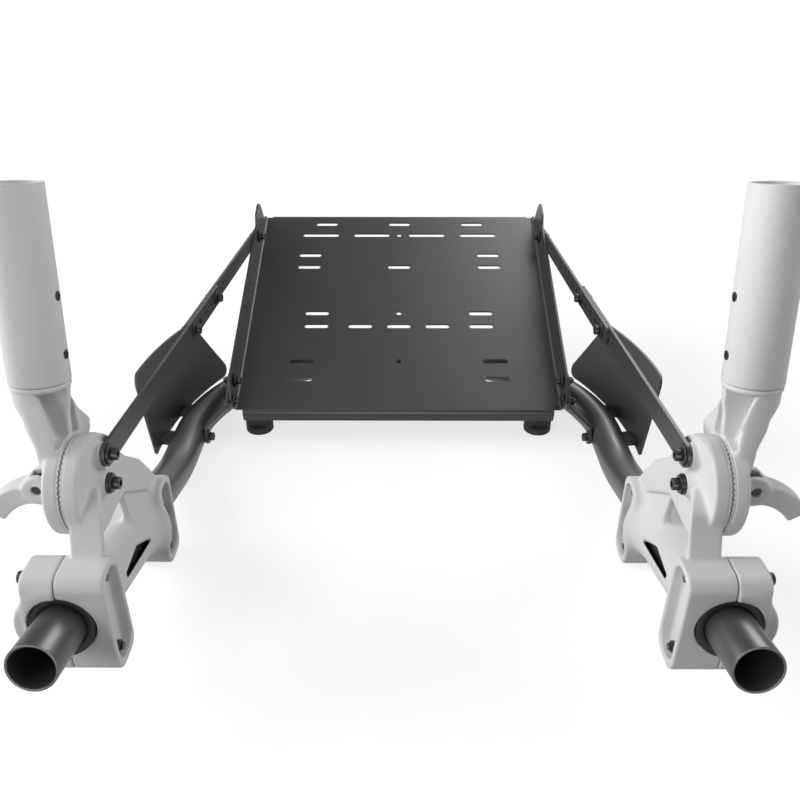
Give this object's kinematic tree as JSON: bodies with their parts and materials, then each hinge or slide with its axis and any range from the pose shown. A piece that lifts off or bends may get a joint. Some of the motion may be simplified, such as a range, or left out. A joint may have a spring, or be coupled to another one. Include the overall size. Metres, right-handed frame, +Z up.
{
  "type": "sim racing cockpit front frame",
  "caption": "Front frame of a folding sim racing cockpit: tilted slotted pedal plate on a bent floor tube, with braced side castings and folding uprights held by cam levers.",
  "frame": {"origin": "middle of the part's footprint, on the floor", "axes": "+Y from the driver towards the pedals, +X to the driver's right, +Z up"},
  "size_m": [0.659, 0.8112, 0.3991],
  "materials": {
    "black_sheet": "fine-texture powder coat",
    "black_tube": "satin powder coat",
    "white_casting": "white powder coat on cast aluminium",
    "white_tube": "white powder coat",
    "black_screw": "black oxide",
    "black_plastic": "matte",
    "rubber": "matte"
  },
  "bodies": {
    "frame": {"pedal_plate": "black_sheet", "front_tube": "black_tube", "plate_foot_right": "rubber", "plate_foot_left": "rubber", "rear_tube_right": "black_tube", "rear_tube_left": "black_tube", "rear_bushing_right": "black_plastic", "rear_bushing_left": "black_plastic", "side_casting_right": "white_casting", "side_casting_left": "white_casting", "front_clamp_cap_right": "white_casting", "front_clamp_cap_left": "white_casting", "rear_clamp_cap_right": "white_casting", "rear_clamp_cap_left": "white_casting", "clamp_screws_right": "black_screw", "clamp_screws_left": "black_screw", "pivot_bolt_right": "black_screw", "pivot_bolt_left": "black_screw", "cam_seat_right": "black_plastic", "cam_seat_left": "black_plastic", "link_strap_right": "black_sheet", "link_strap_left": "black_sheet", "link_screws_right": "black_screw", "link_screws_left": "black_screw", "side_guard_right": "black_sheet", "side_guard_left": "black_sheet", "strut_lower_right": "black_sheet", "strut_lower_left": "black_sheet", "strut_upper_right": "black_sheet", "strut_upper_left": "black_sheet", "strut_screws_right": "black_screw", "strut_screws_left": "black_screw"},
    "upright_right": {"hinge_arm_right": "white_casting", "upright_tube_right": "white_tube", "upright_screws_right": "black_screw"},
    "lever_right": {"clamp_lever_right": "white_casting"},
    "upright_left": {"hinge_arm_left": "white_casting", "upright_tube_left": "white_tube", "upright_screws_left": "black_screw"},
    "lever_left": {"clamp_lever_left": "white_casting"}
  },
  "joints": [
    {"name": "upright_fold_right", "type": "hinge", "parent": "frame", "child": "upright_right", "pos_m": [0.249, -0.27526, 0.17], "axis": [-1, 0, 0], "range_deg": [-30, 60]},
    {"name": "lever_lift_right", "type": "hinge", "parent": "frame", "child": "lever_right", "pos_m": [0.2791, -0.27526, 0.17], "axis": [0, -1, 0], "range_deg": [0, 75]},
    {"name": "upright_fold_left", "type": "hinge", "parent": "frame", "child": "upright_left", "pos_m": [-0.249, -0.27526, 0.17], "axis": [-1, 0, 0], "range_deg": [-30, 60]},
    {"name": "lever_lift_left", "type": "hinge", "parent": "frame", "child": "lever_left", "pos_m": [-0.2791, -0.27526, 0.17], "axis": [0, 1, 0], "range_deg": [0, 75]}
  ]
}
